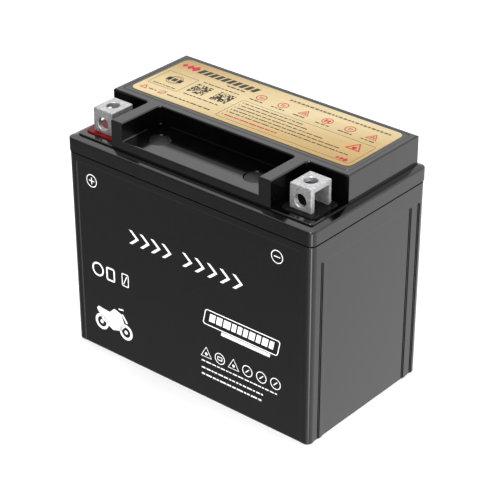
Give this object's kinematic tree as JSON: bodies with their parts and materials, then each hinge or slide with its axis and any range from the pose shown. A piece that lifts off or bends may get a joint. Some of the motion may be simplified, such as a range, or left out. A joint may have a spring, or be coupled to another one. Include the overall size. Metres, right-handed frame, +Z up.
{
  "type": "motorcycle battery",
  "caption": "Sealed lead-acid motorcycle battery: ribbed black case, stepped lid with tray and corner pockets, bolt-on lead terminals and a gold foil top label.",
  "frame": {"origin": "centre of the bottom of the case", "axes": "+Z up; X along the length with the positive terminal towards -X and the negative towards +X; the front face and the terminals face -Y"},
  "size_m": [0.15, 0.086, 0.129],
  "materials": {
    "black_abs": "satin moulded ABS",
    "gold_foil": "brushed metallised foil",
    "terminal_lead": "bright cast lead, slightly mottled",
    "cast_lead": "dull cast lead",
    "positive_plate": "matte pasted lead dioxide",
    "negative_plate": "matte pasted spongy lead",
    "glass_mat": "absorbent glass mat",
    "red_epoxy": "glossy cast resin",
    "black_epoxy": "glossy cast resin",
    "porous_plastic": "sintered, matte",
    "seal_rubber": "matte",
    "valve_rubber": "matte"
  },
  "bodies": {
    "battery": {"case": "black_abs", "lid": "black_abs", "vent_cover": "black_abs", "top_label": "gold_foil", "positive_terminal": "terminal_lead", "negative_terminal": "terminal_lead", "positive_terminal_seal": "red_epoxy", "negative_terminal_seal": "black_epoxy", "vent_disc_left": "porous_plastic", "vent_disc_right": "porous_plastic", "positive_post": "cast_lead", "negative_post": "cast_lead", "positive_post_ring": "seal_rubber", "negative_post_ring": "seal_rubber", "intercell_welds": "cast_lead", "cell_1_positive_plates": "positive_plate", "cell_1_negative_plates": "negative_plate", "cell_1_separators": "glass_mat", "cell_1_positive_strap": "cast_lead", "cell_1_negative_strap": "cast_lead", "cell_2_positive_plates": "positive_plate", "cell_2_negative_plates": "negative_plate", "cell_2_separators": "glass_mat", "cell_2_positive_strap": "cast_lead", "cell_2_negative_strap": "cast_lead", "cell_3_positive_plates": "positive_plate", "cell_3_negative_plates": "negative_plate", "cell_3_separators": "glass_mat", "cell_3_positive_strap": "cast_lead", "cell_3_negative_strap": "cast_lead", "cell_4_positive_plates": "positive_plate", "cell_4_negative_plates": "negative_plate", "cell_4_separators": "glass_mat", "cell_4_positive_strap": "cast_lead", "cell_4_negative_strap": "cast_lead", "cell_5_positive_plates": "positive_plate", "cell_5_negative_plates": "negative_plate", "cell_5_separators": "glass_mat", "cell_5_positive_strap": "cast_lead", "cell_5_negative_strap": "cast_lead", "cell_6_positive_plates": "positive_plate", "cell_6_negative_plates": "negative_plate", "cell_6_separators": "glass_mat", "cell_6_positive_strap": "cast_lead", "cell_6_negative_strap": "cast_lead"},
    "relief_cap_1": {"valve_cap_1": "valve_rubber"},
    "relief_cap_2": {"valve_cap_2": "valve_rubber"},
    "relief_cap_3": {"valve_cap_3": "valve_rubber"},
    "relief_cap_4": {"valve_cap_4": "valve_rubber"},
    "relief_cap_5": {"valve_cap_5": "valve_rubber"},
    "relief_cap_6": {"valve_cap_6": "valve_rubber"}
  },
  "joints": [
    {"name": "relief_valve_1_lift", "type": "slide", "parent": "battery", "child": "relief_cap_1", "axis": [0, 0, 1], "range_m": [0, 0.0006], "stiffness_N_per_m": 470, "springref_m": -0.0012},
    {"name": "relief_valve_2_lift", "type": "slide", "parent": "battery", "child": "relief_cap_2", "axis": [0, 0, 1], "range_m": [0, 0.0006], "stiffness_N_per_m": 470, "springref_m": -0.0012},
    {"name": "relief_valve_3_lift", "type": "slide", "parent": "battery", "child": "relief_cap_3", "axis": [0, 0, 1], "range_m": [0, 0.0006], "stiffness_N_per_m": 470, "springref_m": -0.0012},
    {"name": "relief_valve_4_lift", "type": "slide", "parent": "battery", "child": "relief_cap_4", "axis": [0, 0, 1], "range_m": [0, 0.0006], "stiffness_N_per_m": 470, "springref_m": -0.0012},
    {"name": "relief_valve_5_lift", "type": "slide", "parent": "battery", "child": "relief_cap_5", "axis": [0, 0, 1], "range_m": [0, 0.0006], "stiffness_N_per_m": 470, "springref_m": -0.0012},
    {"name": "relief_valve_6_lift", "type": "slide", "parent": "battery", "child": "relief_cap_6", "axis": [0, 0, 1], "range_m": [0, 0.0006], "stiffness_N_per_m": 470, "springref_m": -0.0012}
  ]
}
